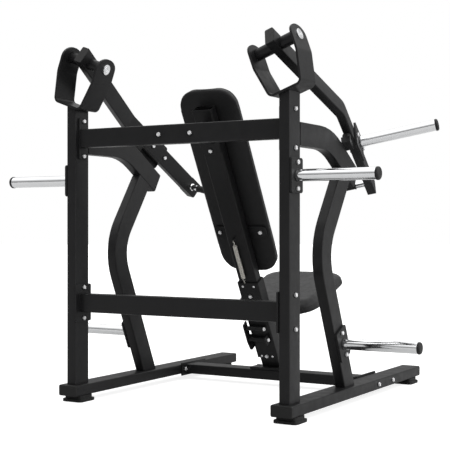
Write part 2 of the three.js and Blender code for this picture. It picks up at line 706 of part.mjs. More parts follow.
// ---------------------------------------------------------------- seat post and back pad
// In the post's frame z runs up the post, y points to the rear, and y = 0 is the post's rear face.

function seatPost() {
  const section = tubeSection(TUBE_WIDTH, TUBE_DEPTH, POST.wall);
  const tube = prism(section, POST.top - POST.bottom, point(0, -TUBE_DEPTH / 2, POST.bottom), X, Y);
  const { radius, length, z, sides } = SPRING_PEG;
  const peg = rod(radius, length + WELD_DEPTH, point(SPRING.x, -WELD_DEPTH, z), Y, sides);
  const inWorld = join(tube, peg).applyMatrix4(postMatrix);
  const trim = 4 * TUBE_WIDTH;
  const plateTop = RAIL_TOP_Z + GAP + POST.plateThickness;
  const baseY = forward((POST_BASE.rear + POST_BASE.front) / 2);
  const below = box(trim, trim, trim, point(0, baseY, plateTop - WELD_DEPTH - trim / 2));
  const plate = box(
    2 * POST.plateHalfX, POST_BASE.front - POST_BASE.rear, POST.plateThickness,
    point(0, baseY, plateTop - POST.plateThickness / 2),
  );
  const heads = [-1, 1].map((side) => boltHead(point(side * POST.plateBoltX, baseY, plateTop), Z));
  return join(cut(inWorld, below), plate, ...heads);
}

function postBracket() {
  const beamFace = forward(BEAM_FORWARD + TUBE_DEPTH / 2) - GAP;
  const flangeMiddle = point(0, beamFace - BRACKET.plate / 2, UPPER_BEAM.z);
  const flange = box(2 * BRACKET.flangeHalfX, BRACKET.plate, BRACKET.flangeHeight, flangeMiddle);
  const section = tubeSection(BRACKET.height, BRACKET.width, TUBE_WALL);
  const reach = 3 * TUBE_WIDTH;
  const tube = prism(section, reach, point(0, beamFace - reach, BRACKET.z), Z, X);
  const trim = 2 * reach;
  const postSpace = box(trim, trim, 2 * trim, point(0, GAP - trim / 2, 0)).applyMatrix4(postMatrix);
  const padHeight = BRACKET_PAD.high - BRACKET_PAD.low;
  const postPlate = box(
    2 * BRACKET_PAD.halfX, BRACKET.plate, padHeight,
    point(0, GAP + BRACKET.plate / 2, BRACKET_PAD.low + padHeight / 2),
  ).applyMatrix4(postMatrix);
  const head = boltHead(point(0, GAP + BRACKET.plate, BRACKET_PAD.bolt), Y).applyMatrix4(postMatrix);
  const ventStart = point(0, beamFace + BRACKET.plate, BRACKET.z);
  const vent = rod(BEAM_VENT_RADIUS, 3 * BRACKET.plate, ventStart, point(0, -1, 0));
  return cut(join(cut(tube, postSpace), flange, postPlate, head), vent);
}

function padBracket() {
  const outline = roundedRect(2 * PAD_BRACKET.halfX, PAD_BRACKET.height, PAD_BRACKET.corner);
  const plate = prism(outline, PAD_BRACKET_THICKNESS, point(0, PAD_BRACKET_THICKNESS / 2, 0), X, Z);
  const heads = [-1, 1].map((side) => boltHead(
    point(side * PAD_BRACKET.boltX, PAD_BRACKET_THICKNESS / 2, 0), Y,
  ));
  return join(plate, ...heads);
}

function backRest() {
  const group = postFrame();
  const padDepth = BACK_PAD.far - BACK_PAD.near;
  const outline = roundedRect(2 * BACK_PAD.halfX, BACK_PAD.top - BACK_PAD.bottom, BACK_PAD.corner);
  const middle = point(0, -BACK_PAD.near, (BACK_PAD.top + BACK_PAD.bottom) / 2);
  const pad = prism(outline, padDepth, middle, X, Z, PAD_CORNER_SEGMENTS);
  group.add(piece('back_pad', pad, 'vinyl'));
  for (const level of ['lower', 'upper']) {
    const bracket = piece(`back_pad_${level}_bracket`, padBracket(), 'frame_paint');
    bracket.position.set(0, -TUBE_DEPTH - GAP - PAD_BRACKET_THICKNESS / 2, PAD_BRACKET[level]);
    group.add(bracket);
  }
  return group;
}

// ---------------------------------------------------------------- sliding seat

function seatCarriage() {
  const height = SLEEVE.top - SLEEVE.bottom;
  const sleeveMiddle = -TUBE_DEPTH / 2;
  const sleeve = prism(
    tubeSection(SLEEVE.width, SLEEVE.depth, SLEEVE.wall, TUBE_CORNER), height,
    point(0, sleeveMiddle, SLEEVE.bottom), X, Y,
  );
  const front = sleeveMiddle - SLEEVE.depth / 2;
  const plateLength = SEAT_PLATE.front - SEAT_PLATE.rear;
  const underPad = -SEAT.thickness - GAP;
  const plateUnderside = underPad - SEAT_PLATE.thickness + WELD_DEPTH;
  const plate = box(
    2 * SEAT_PLATE.halfX, plateLength, SEAT_PLATE.thickness,
    point(0, -SEAT_PLATE.rear - plateLength / 2, underPad - SEAT_PLATE.thickness / 2),
  ).applyMatrix4(seatInPost);
  const onPlate = (distance) => point(0, -distance, plateUnderside).applyMatrix4(seatInPost);
  const plateRear = onPlate(SEAT_PLATE.rear);
  const plateFront = onPlate(SEAT_PLATE.front - GUSSET.inset);
  const onSleeve = front + 2 * WELD_DEPTH;
  const gussetBottom = SLEEVE.bottom + GUSSET.inset;
  const outline = polygon([
    [front - GUSSET.toe, gussetBottom], [plateFront.y, plateFront.z - GUSSET.nose],
    [plateFront.y, plateFront.z], [plateRear.y, plateRear.z],
    [onSleeve, plateRear.z + GUSSET.inset], [onSleeve, gussetBottom],
  ]);
  const gussets = [-1, 1].map((side) => prism(
    outline, GUSSET.thickness, point(side * GUSSET.x - GUSSET.thickness / 2, 0, 0), Y, Z,
  ));
  const rear = sleeveMiddle + SLEEVE.depth / 2;
  const heads = [SLEEVE.upperBolt, SLEEVE.lowerBolt].map((z) => boltHead(point(0, rear, z), Y));
  const lugReach = LATCH.y + LATCH.radius;
  const lugX = LATCH.innerX - GAP - LUG.thickness / 2;
  const lugY = rear - WELD_DEPTH + lugReach / 2;
  const lug = box(LUG.thickness, lugReach, LUG.height, point(lugX, lugY, LATCH.pivot));
  return join(sleeve, plate, ...gussets, ...heads, lug);
}

// The latch turns about its lower cross tube and pulls the upper one out of the post's notches.
function seatLatch() {
  const outerX = LATCH.plateX + LATCH.plateThickness;
  const along = outerX - LATCH.innerX;
  const tubes = [LATCH.pivot, LATCH.roller].map((z) => rod(
    LATCH.radius, along, point(LATCH.innerX, LATCH.y, z), X,
  ));
  const side = polygon(LATCH_OUTLINE);
  const plate = prism(side, LATCH.plateThickness, point(LATCH.plateX, 0, 0), Y, Z);
  const ahead = point(0, -1, 0);
  const [lever, knob] = [LEVER, KNOB].map(({ radius, start, length, sides }) => rod(
    radius, length, point(LATCH.plateX + LATCH.plateThickness / 2, start, LEVER.z), ahead, sides,
  ));
  return join(...tubes, plate, lever, knob);
}

function counterbalanceSpring() {
  const { x, y, radius, hookRadius, sides, hookSides } = SPRING;
  const body = rod(radius, SPRING.top - SPRING.bottom, point(x, y, SPRING.bottom), Z, sides);
  const wireLength = SPRING_ENDS.top - SPRING_ENDS.bottom;
  const wire = rod(hookRadius, wireLength, point(x, y, SPRING_ENDS.bottom), Z, hookSides);
  return join(body, wire);
}

function slidingSeat() {
  const group = postFrame();
  group.add(piece('seat_carriage', seatCarriage(), 'frame_paint'));
  group.add(piece('seat_latch', seatLatch(), 'frame_paint'));
  group.add(piece('counterbalance_spring', counterbalanceSpring(), 'zinc'));
  return group;
}

function seatOutline() {
  const rearX = SEAT.halfX - SEAT.rearCorner;
  const frontX = SEAT.halfX - SEAT.frontCorner;
  const frontY = SEAT.frontCorner - SEAT.length;
  const outline = new THREE.Shape();
  outline.moveTo(-frontX, -SEAT.length);
  outline.absarc(frontX, frontY, SEAT.frontCorner, -Math.PI / 2, 0, false);
  outline.absarc(rearX, -SEAT.rearCorner, SEAT.rearCorner, 0, Math.PI / 2, false);
  outline.absarc(-rearX, -SEAT.rearCorner, SEAT.rearCorner, Math.PI / 2, Math.PI, false);
  outline.absarc(-frontX, frontY, SEAT.frontCorner, Math.PI, 1.5 * Math.PI, false);
  outline.closePath();
  return outline;
}

function seat() {
  const group = seatFrame();
  const pad = prism(seatOutline(), SEAT.thickness, point(0, 0, -SEAT.thickness), X, Y, PAD_CORNER_SEGMENTS);
  group.add(piece('seat_pad', pad, 'vinyl'));
  return group;
}

// ---------------------------------------------------------------- whole machine

const machine = new THREE.Group();
const left = leftSide();
machine.add(left, mirrored(left));
machine.add(piece('front_cross_tube', frontCrossTube(), 'frame_paint'));
machine.add(piece('upper_beam', upperBeam(), 'frame_paint'));
machine.add(piece('lower_beam', crossBeam(LOWER_BEAM), 'frame_paint'));
machine.add(piece('seat_post', seatPost(), 'frame_paint'));
machine.add(piece('post_bracket', postBracket(), 'frame_paint'));
machine.add(backRest(), slidingSeat(), seat());

export default machine;
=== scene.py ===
import json
import math

import bmesh
import bpy
import numpy as np
from mathutils import Matrix, Vector
from mathutils.bvhtree import BVHTree


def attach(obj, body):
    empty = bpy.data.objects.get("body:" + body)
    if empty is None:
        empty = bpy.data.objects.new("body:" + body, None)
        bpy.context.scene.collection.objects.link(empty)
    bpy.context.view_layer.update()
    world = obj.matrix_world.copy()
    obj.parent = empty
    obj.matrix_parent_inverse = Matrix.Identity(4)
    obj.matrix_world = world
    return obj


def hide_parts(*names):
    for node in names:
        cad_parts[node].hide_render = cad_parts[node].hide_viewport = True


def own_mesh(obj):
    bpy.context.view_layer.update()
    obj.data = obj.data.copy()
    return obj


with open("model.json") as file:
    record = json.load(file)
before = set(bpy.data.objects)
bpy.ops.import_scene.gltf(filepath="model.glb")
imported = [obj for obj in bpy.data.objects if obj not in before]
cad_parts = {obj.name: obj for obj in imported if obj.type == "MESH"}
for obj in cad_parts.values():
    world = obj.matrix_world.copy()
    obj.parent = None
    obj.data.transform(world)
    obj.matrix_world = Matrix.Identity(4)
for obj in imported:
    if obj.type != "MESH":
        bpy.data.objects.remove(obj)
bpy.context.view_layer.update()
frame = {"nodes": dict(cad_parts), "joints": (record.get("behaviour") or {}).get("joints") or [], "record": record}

MM = 0.001
SIDES = ("left", "right")
NODES = frame["nodes"]
JOINTS = {joint["name"]: joint for joint in frame["joints"]}
BODY_OF = {
    node: body
    for body, members in frame["record"]["behaviour"]["bodies"].items()
    for node in members
}
SLOT_OF = {part["node"]: part["material_slot"] for part in frame["record"]["subparts"]}


# ------------------------------------------------------------------ camera and light

CAMERA_AT = Vector((-2.5461, 4.5678, 0.8059))
CAMERA_AZIMUTH = 210.493
CAMERA_LENS = 86.14
SENSOR_WIDTH = 36


def make_camera():
    data = bpy.data.cameras.new("camera")
    data.lens = CAMERA_LENS
    data.sensor_width = SENSOR_WIDTH
    data.clip_end = 60
    camera = bpy.data.objects.new("camera", data)
    camera.location = CAMERA_AT
    camera.rotation_euler = (math.radians(90), 0, math.radians(CAMERA_AZIMUTH))
    bpy.context.scene.collection.objects.link(camera)
    bpy.context.scene.camera = camera


def node(tree, kind, **values):
    made = tree.nodes.new(kind)
    for key, value in values.items():
        setattr(made, key, value)
    return made


def ramp(tree, source, low, high, from_low=0.0, from_high=1.0):
    """Maps a value smoothly from one range to another."""
    made = node(tree, "ShaderNodeMapRange", interpolation_type="SMOOTHSTEP")
    made.inputs["From Min"].default_value = from_low
    made.inputs["From Max"].default_value = from_high
    made.inputs["To Min"].default_value = low
    made.inputs["To Max"].default_value = high
    tree.links.new(source, made.inputs["Value"])
    return made.outputs["Result"]


def math_node(tree, operation, first, second):
    made = node(tree, "ShaderNodeMath", operation=operation)
    for socket, value in zip(made.inputs, (first, second)):
        if isinstance(value, (int, float)):
            socket.default_value = value
        else:
            tree.links.new(value, socket)
    return made.outputs[0]


BACKDROP = 1.0
AMBIENT = 0.27
TOP_LIGHT = 1.3
SIDE_LIGHT = 1.6
TOP_FADE = (0.1, 0.95)  # a direction's upward part, where the light starts and where it is full
SIDE_FADE = (0.3, 0.95)


def make_light():
    """A white studio: soft light from above and from the user's right side."""
    world = bpy.data.worlds.new("studio")
    bpy.context.scene.world = world
    world.use_nodes = True
    tree = world.node_tree
    tree.nodes.clear()
    direction = node(tree, "ShaderNodeTexCoord").outputs["Generated"]
    split = node(tree, "ShaderNodeSeparateXYZ")
    tree.links.new(direction, split.inputs[0])
    top = ramp(tree, split.outputs["Z"], 0, TOP_LIGHT, *TOP_FADE)
    toward_right = math_node(tree, "MULTIPLY", split.outputs["X"], -1.0)
    side = ramp(tree, toward_right, 0, SIDE_LIGHT, *SIDE_FADE)
    light = math_node(tree, "ADD", math_node(tree, "ADD", top, side), AMBIENT)
    lit = node(tree, "ShaderNodeBackground")
    tree.links.new(light, lit.inputs["Strength"])
    seen = node(tree, "ShaderNodeBackground")
    for shader in (lit, seen):
        shader.inputs["Color"].default_value = (1, 1, 1, 1)
    seen.inputs["Strength"].default_value = BACKDROP
    mixed = node(tree, "ShaderNodeMixShader")
    tree.links.new(node(tree, "ShaderNodeLightPath").outputs["Is Camera Ray"], mixed.inputs[0])
    tree.links.new(lit.outputs[0], mixed.inputs[1])
    tree.links.new(seen.outputs[0], mixed.inputs[2])
    tree.links.new(mixed.outputs[0], node(tree, "ShaderNodeOutputWorld").inputs[0])
    bpy.context.scene.view_settings.view_transform = "Standard"


# ------------------------------------------------------------------ materials

def base_material(name, color, roughness, metallic=0.0):
    material = bpy.data.materials.new(name)
    material.use_nodes = True
    tree = material.node_tree
    shader = tree.nodes["Principled BSDF"]
    shader.inputs["Base Color"].default_value = (*color, 1)
    shader.inputs["Roughness"].default_value = roughness
    shader.inputs["Metallic"].default_value = metallic
    place = node(tree, "ShaderNodeTexCoord").outputs["Object"]
    return material, tree, shader, place


def noise(tree, place, scale, detail=2.0, roughness=0.5):
    made = node(tree, "ShaderNodeTexNoise")
    made.inputs["Scale"].default_value = scale
    made.inputs["Detail"].default_value = detail
    made.inputs["Roughness"].default_value = roughness
    tree.links.new(place, made.inputs["Vector"])
    return made.outputs["Fac"]


def vary_color(tree, shader, factor, dark, light):
    mix = node(tree, "ShaderNodeMix", data_type="RGBA")
    mix.inputs["A"].default_value = (*dark, 1)
    mix.inputs["B"].default_value = (*light, 1)
    tree.links.new(factor, mix.inputs["Factor"])
    tree.links.new(mix.outputs["Result"], shader.inputs["Base Color"])


NOISE_SPAN = (0.3, 0.7)  # where most of a noise texture's values lie


def vary_roughness(tree, shader, factor, low, high):
    tree.links.new(ramp(tree, factor, low, high, *NOISE_SPAN), shader.inputs["Roughness"])


def bump(tree, shader, height, strength, distance):
    made = node(tree, "ShaderNodeBump")
    made.inputs["Strength"].default_value = strength
    made.inputs["Distance"].default_value = distance
    tree.links.new(height, made.inputs["Height"])
    tree.links.new(made.outputs["Normal"], shader.inputs["Normal"])


def powder_coat():
    material, tree, shader, place = base_material("powder_coat", (0.009, 0.009, 0.0095), 0.38)
    shader.inputs["Specular IOR Level"].default_value = 0.22
    broad = noise(tree, place, 9, detail=4)
    peel = noise(tree, place, 650, detail=2, roughness=0.6)
    vary_color(tree, shader, broad, (0.0075, 0.0075, 0.008), (0.0115, 0.0115, 0.012))
    vary_roughness(tree, shader, noise(tree, place, 22, detail=5), 0.34, 0.44)
    bump(tree, shader, peel, strength=0.10, distance=0.0004)
    return material


def chrome():
    material, tree, shader, place = base_material("chrome", (0.86, 0.87, 0.88), 0.08, 1.0)
    smudge = noise(tree, place, 14, detail=5, roughness=0.6)
    vary_color(tree, shader, smudge, (0.82, 0.83, 0.845), (0.9, 0.905, 0.91))
    vary_roughness(tree, shader, noise(tree, place, 60, detail=6, roughness=0.65), 0.05, 0.13)
    bump(tree, shader, noise(tree, place, 240, detail=2), strength=0.02, distance=0.0002)
    return material


def zinc(name, color):
    dark = tuple(0.82 * c for c in color)
    material, tree, shader, place = base_material(name, color, 0.28, 0.55)
    vary_color(tree, shader, noise(tree, place, 120, detail=4), dark, color)
    vary_roughness(tree, shader, noise(tree, place, 300, detail=3), 0.2, 0.36)
    bump(tree, shader, noise(tree, place, 900, detail=2), strength=0.05, distance=0.0002)
    return material


def vinyl():
    """Grained upholstery vinyl: small rounded cells with a finer grain over them."""
    material, tree, shader, place = base_material("vinyl", (0.01, 0.01, 0.0105), 0.5)
    shader.inputs["Specular IOR Level"].default_value = 0.25
    shader.inputs["Sheen Weight"].default_value = 0.06
    shader.inputs["Sheen Roughness"].default_value = 0.5
    cells = node(tree, "ShaderNodeTexVoronoi", feature="SMOOTH_F1")
    cells.inputs["Scale"].default_value = 420
    cells.inputs["Smoothness"].default_value = 0.6
    tree.links.new(place, cells.inputs["Vector"])
    fine = noise(tree, place, 1500, detail=2)
    grain = math_node(tree, "ADD", cells.outputs["Distance"], math_node(tree, "MULTIPLY", fine, 0.35))
    broad = noise(tree, place, 12, detail=4)
    vary_color(tree, shader, broad, (0.008, 0.008, 0.0085), (0.0125, 0.0125, 0.013))
    vary_roughness(tree, shader, noise(tree, place, 40, detail=4), 0.44, 0.56)
    bump(tree, shader, grain, strength=0.22, distance=0.0006)
    return material


def rubber(name, color, roughness, scale):
    material, tree, shader, place = base_material(name, color, roughness)
    light = tuple(1.5 * c for c in color)
    shader.inputs["Specular IOR Level"].default_value = 0.25
    vary_color(tree, shader, noise(tree, place, 35, detail=4), color, light)
    vary_roughness(tree, shader, noise(tree, place, 90, detail=3), roughness - 0.08, roughness + 0.06)
    grain = noise(tree, place, scale, detail=3, roughness=0.6)
    bump(tree, shader, grain, strength=0.2, distance=0.0004)
    return material


MATERIALS = {
    "frame_paint": powder_coat(),
    "horn_chrome": chrome(),
    "pin_chrome": chrome(),
    "end_plastic": rubber("end_plastic", (0.008, 0.008, 0.008), 0.42, 1100),
    "foot_rubber": rubber("foot_rubber", (0.007, 0.007, 0.007), 0.6, 500),
    "grip_rubber": rubber("grip_rubber", (0.010, 0.010, 0.010), 0.6, 800),
    "pad_vinyl": vinyl(),
    "spring_zinc": zinc("spring_zinc", (0.8, 0.78, 0.72)),
}
BOLT_ZINC = zinc("bolt_zinc", (0.95, 0.95, 0.96))


# ------------------------------------------------------------------ mesh helpers

def new_piece(name, mesh, slot, body, replaces=(), material=None):
    """Puts a mesh in the scene, gives it its finish and lets it ride on a body."""
    piece = bpy.data.objects.new(name, mesh)
    bpy.context.scene.collection.objects.link(piece)
    mesh.materials.clear()
    mesh.materials.append(material or MATERIALS[slot])
    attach(piece, body)
    if replaces:
        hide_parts(*replaces)
    return piece


def mesh_from(bm, name, smooth_angle=40):
    bmesh.ops.recalc_face_normals(bm, faces=bm.faces)
    mesh = bpy.data.meshes.new(name)
    bm.to_mesh(mesh)
    bm.free()
    mesh.shade_smooth()
    mesh.set_sharp_from_angle(angle=math.radians(smooth_angle))
    return mesh


def even_shading(piece):
    piece.modifiers.new("weighted", "WEIGHTED_NORMAL").keep_sharp = True


def points_of(name):
    mesh = NODES[name].data
    flat = np.empty(len(mesh.vertices) * 3)
    mesh.vertices.foreach_get("co", flat)
    return flat.reshape(-1, 3)


def extent(name, origin, axis):
    """How far a node reaches along an axis, measured from a point."""
    along = (points_of(name) - np.array(origin)) @ np.array(axis)
    return float(along.min()), float(along.max())


def local_box(name, basis):
    """Lowest and highest corners of a node in a turned frame."""
    local = points_of(name) @ np.array(basis.to_3x3())
    return Vector(local.min(axis=0)), Vector(local.max(axis=0))


def turned_frame(x_axis, z_axis):
    y_axis = z_axis.cross(x_axis).normalized()
    return Matrix((x_axis, y_axis, z_axis)).transposed().to_4x4()


def side_direction(direction):
    helper = Vector((0, 0, 1)) if abs(direction.z) < 0.9 else Vector((1, 0, 0))
    return direction.cross(helper).normalized()


def ring(bm, centre, direction, radius, count):
    across = side_direction(direction)
    other = direction.cross(across)
    turns = (2 * math.pi * i / count for i in range(count))
    return [
        bm.verts.new(centre + radius * (math.cos(t) * across + math.sin(t) * other))
        for t in turns
    ]


def bridge(bm, first, second):
    count = len(first)
    for i in range(count):
        j = (i + 1) % count
        bm.faces.new((first[i], first[j], second[j], second[i]))


def turn_profile(bm, profile, start, direction, count=56):
    """A body of revolution. A profile point is (distance along the axis, radius)."""
    loops = []
    for distance, radius in profile:
        centre = start + distance * direction
        point = radius == 0
        loops.append([bm.verts.new(centre)] if point else ring(bm, centre, direction, radius, count))
    for first, second in zip(loops, loops[1:]):
        if len(first) == 1 or len(second) == 1:
            tip, loop = (first[0], second) if len(first) == 1 else (second[0], first)
            for i in range(count):
                bm.faces.new((tip, loop[i], loop[(i + 1) % count]))
        else:
            bridge(bm, first, second)
    if profile[0] == profile[-1]:
        for a, b in zip(loops[0], loops[-1]):
            bmesh.ops.pointmerge(bm, verts=[a, b], merge_co=a.co)


BOLT_FACES = {}  # body name: the hexagon heads found on its nodes
HEAD_RADIUS = 0.0095
HEAD_MATCH = 0.02  # share of the radius
ROUND_EDGE = 30  # degrees: edges that turn more than this are rounded
EDGE_ROUND = 1.4  # mm
EDGE_ROUNDS = {"foot": 3.0, "arm_cap": 3.0, "arm_stop": 3.0}  # mm, by the end of the node's name
EDGE_SEGMENTS = 3
WELD = 2e-5
SLIVER = 5e-5
SAME_PLACE = 1e-5
FLAT_WITHIN = math.radians(0.8)


def note_bolt_heads(bm, body):
    """A six-sided face whose corners all lie HEAD_RADIUS from its middle is a bolt's head."""
    for face in bm.faces:
        if len(face.verts) != 6:
            continue
        middle = face.calc_center_median()
        if all(
            abs((v.co - middle).length - HEAD_RADIUS) < HEAD_MATCH * HEAD_RADIUS for v in face.verts
        ):
            found = (middle.copy(), face.normal.copy(), (face.verts[0].co - middle).normalized())
            BOLT_FACES.setdefault(body, []).append(found)


def refined(name, bevel):
    """A finer copy of a metal or plastic node: merged faces and rounded edges."""
    bm = bmesh.new()
    bm.from_mesh(NODES[name].data)
    bmesh.ops.remove_doubles(bm, verts=bm.verts, dist=WELD)
    bmesh.ops.dissolve_degenerate(bm, dist=SLIVER, edges=bm.edges)
    bmesh.ops.dissolve_limit(bm, angle_limit=FLAT_WITHIN, verts=bm.verts, edges=bm.edges)
    note_bolt_heads(bm, BODY_OF[name])
    turning = [
        e for e in bm.edges
        if len(e.link_faces) == 2 and e.calc_face_angle(0) > math.radians(ROUND_EDGE)
    ]
    bmesh.ops.bevel(
        bm, geom=turning, offset=bevel * MM, segments=EDGE_SEGMENTS, profile=0.5,
        affect="EDGES", clamp_overlap=True,
    )
    bmesh.ops.remove_doubles(bm, verts=bm.verts, dist=SAME_PLACE)
    mesh = mesh_from(bm, name + "_fine", 35)
    piece = new_piece(name + "_fine", mesh, SLOT_OF[name], BODY_OF[name], [name])
    even_shading(piece)


RAIL_CAP = {"gap": 0.0003, "growth": 0.0025, "corner": 0.008, "rim": 0.005, "seat": 0.001}


def make_rail_cap(side, end):
    """A moulded cap on a rail's end, with round corners and a rounded rim."""
    name = side + "_" + end + "_rail_cap"
    cap, rail = points_of(name), points_of(side + "_base_rail")
    outward = 1 if end == "rear" else -1
    inner = (outward * rail[:, 1]).max() + RAIL_CAP["gap"]
    outer = (outward * cap[:, 1]).max() + RAIL_CAP["growth"]
    low = Vector((cap[:, 0].min(), min(outward * inner, outward * outer), cap[:, 2].min()))
    high = Vector((cap[:, 0].max(), max(outward * inner, outward * outer), cap[:, 2].max()))
    bm = bmesh.new()
    box = Matrix.Translation((low + high) / 2) @ Matrix.Diagonal((*(high - low), 1))
    bmesh.ops.create_cube(bm, size=1, matrix=box)
    rounding = dict(segments=5, profile=0.5, affect="EDGES", clamp_overlap=True)
    along = [e for e in bm.edges if abs((e.verts[0].co - e.verts[1].co).y) > SAME_PLACE]
    bmesh.ops.bevel(bm, geom=along, offset=RAIL_CAP["corner"], **rounding)
    for reach, size in ((outer, "rim"), (inner, "seat")):
        edges = [
            e for e in bm.edges if all(abs(outward * v.co.y - reach) < SAME_PLACE for v in e.verts)
        ]
        bmesh.ops.bevel(bm, geom=edges, offset=RAIL_CAP[size], **rounding)
    mesh = mesh_from(bm, name, 50)
    piece = new_piece(name + "_moulded", mesh, SLOT_OF[name], BODY_OF[name], [name])
    even_shading(piece)


# ------------------------------------------------------------------ bolts and rivets

BOLT_GROWTH = 1.04
BOLT_LIFT = 0.0006
BOLT_CHAMFER = {"height": 0.0012, "share": 0.86}
BOLT_DISH = {"depth": 0.0004, "rim": 0.62, "floor": 0.56}
HEAD_HEIGHT = 0.008
WASHER = {"radius": 0.0122, "height": 0.0018, "straight": 0.7, "chamfer": 0.0006, "sides": 28}
RIVET = {
    "radius": 0.0062, "crown": 0.45, "sunk": 0.001, "steps": 5, "sides": 24,
    "across": 0.030, "below_top": 0.020, "above_bottom": 0.010,
}


def bolt(bm, top, direction, across):
    """A hexagon head with a chamfered, slightly dished crown."""
    radius = BOLT_GROWTH * HEAD_RADIUS
    foot = top - HEAD_HEIGHT * direction
    other = direction.cross(across)
    crown = HEAD_HEIGHT + BOLT_LIFT
    loops = []
    levels = (
        (WASHER["height"], 1.0), (HEAD_HEIGHT - BOLT_CHAMFER["height"], 1.0),
        (crown, BOLT_CHAMFER["share"]), (crown, BOLT_DISH["rim"]),
        (crown - BOLT_DISH["depth"], BOLT_DISH["floor"]),
    )
    for height, share in levels:
        centre = foot + height * direction
        turns = (math.pi * i / 3 for i in range(6))
        loops.append([
            bm.verts.new(centre + share * radius * (math.cos(t) * across + math.sin(t) * other))
            for t in turns
        ])
    for first, second in zip(loops, loops[1:]):
        bridge(bm, first, second)
    bm.faces.new(loops[-1])
    bm.faces.new(loops[0][::-1])


def washer(bm, top, direction):
    wide, height = WASHER["radius"], WASHER["height"]
    profile = [
        (0, 0), (0, wide), (WASHER["straight"] * height, wide),
        (height, wide - WASHER["chamfer"]), (height, 0),
    ]
    turn_profile(bm, profile, top - HEAD_HEIGHT * direction, direction, WASHER["sides"])


def rivet(bm, centre, direction):
    radius, steps = RIVET["radius"], RIVET["steps"]
    profile = [(-RIVET["sunk"], 0), (-RIVET["sunk"], radius)]
    for i in range(steps + 1):
        turn = 0.5 * math.pi * i / steps
        around = radius * math.cos(turn) if i < steps else 0
        profile.append((RIVET["crown"] * radius * math.sin(turn), around))
    turn_profile(bm, profile, centre, direction, RIVET["sides"])


def make_bolts():
    for body, heads in BOLT_FACES.items():
        bright, dark = bmesh.new(), bmesh.new()
        for top, direction, corner in heads:
            bolt(bright, top, direction, corner)
            washer(dark, top, direction)
        heads_mesh = mesh_from(bright, body + "_bolts", 30)
        new_piece(body + "_bolts", heads_mesh, "spring_zinc", body, material=BOLT_ZINC)
        new_piece(body + "_washers", mesh_from(dark, body + "_washers", 30), "frame_paint", body)


# ------------------------------------------------------------------ the post's own frame

POST_UP = Vector(JOINTS["seat_height"]["axis"]).normalized()
ACROSS = Vector((1, 0, 0))
POST_REAR = POST_UP.cross(ACROSS)
POST = turned_frame(ACROSS, POST_UP)


def post_box(name):
    """Lowest and highest corners of a node: across, towards the rear, up the post."""
    return local_box(name, POST)


def on_post(across, rear, up):
    return POST @ Vector((across, rear, up))


# ------------------------------------------------------------------ turned parts

def horn_axis(prefix):
    """Where a weight horn's sleeve starts, the way it points and its length and radius."""
    points = points_of(prefix + "_sleeve")
    middle = points.mean(axis=0)
    way = np.linalg.svd(points - middle, full_matrices=False)[2][0]
    outward = points_of(prefix + "_cap").mean(axis=0) - middle
    way = way if way @ outward > 0 else -way
    along = (points - middle) @ way
    away = points - middle - np.outer(along, way)
    radius = np.linalg.norm(away, axis=1).max()
    start = Vector(middle + along.min() * way)
    return start, Vector(way), float(np.ptp(along)), float(radius)


def turned_piece(name, profile, start, direction, slot, body, replaces, count, smooth=30):
    bm = bmesh.new()
    turn_profile(bm, profile, start, direction, count)
    bmesh.ops.remove_doubles(bm, verts=bm.verts, dist=1e-6)
    piece = new_piece(name, mesh_from(bm, name, smooth), slot, body, replaces)
    even_shading(piece)


HORN = {"lip": 0.0012, "lip_cut": 0.3, "bore": 0.79}  # shares: lip_cut of the lip, bore of the radius
HORN_CAP = {
    "overhang": 0.002, "edge": 0.001, "straight": 0.45, "round": 0.5, "inset": 0.011, "steps": 7,
    "face_drop": 0.0012, "face_rim": 0.0125, "face": 0.018,
}


def make_horn(prefix):
    """A horn's plated tube with softened lips, and its domed plastic cap."""
    start, way, length, radius = horn_axis(prefix)
    body = BODY_OF[prefix + "_sleeve"]
    lip = HORN["lip"]
    cut = HORN["lip_cut"] * lip
    bore = HORN["bore"] * radius
    tube = [
        (0, bore), (0, radius - lip), (cut, radius - cut), (lip, radius), (length - lip, radius),
        (length - cut, radius - cut), (length, radius - lip), (length, bore), (0, bore),
    ]
    turned_piece(prefix + "_tube", tube, start, way, "horn_chrome", body, [prefix + "_sleeve"], 72)
    low, high = extent(prefix + "_cap", start, way)
    wide = radius + HORN_CAP["overhang"]
    depth = high - low
    edge, straight = HORN_CAP["edge"], HORN_CAP["straight"]
    cap = [(low, 0), (low, wide - edge), (low + edge, wide), (low + straight * depth, wide)]
    for i in range(1, HORN_CAP["steps"] + 1):
        turn = 0.5 * math.pi * i / HORN_CAP["steps"]
        along = low + (straight + HORN_CAP["round"] * math.sin(turn)) * depth
        cap.append((along, wide - HORN_CAP["inset"] * (1 - math.cos(turn))))
    cap += [(high - HORN_CAP["face_drop"], wide - HORN_CAP["face_rim"])]
    cap += [(high, wide - HORN_CAP["face"]), (high, 0)]
    turned_piece(prefix + "_end_cap", cap, start, way, "end_plastic", body, [prefix + "_cap"], 64, 35)


SHAFT_RADIUS = 0.015
DISC_THICKNESS = 0.005
DISC_CENTRE = [(0, 0), (0, 0.0022), (-0.0009, 0.003), (-0.0009, 0.0052), (0, 0.006)]
DISC_GROOVE = [(0, 0.58), (-0.0005, 0.6), (-0.0005, 0.63), (0, 0.65)]  # shares of the radius
DISC_RIM = [(0, 0.0016), (-0.0005, 0.0005), (-0.0016, 0)]  # how far inside the radius


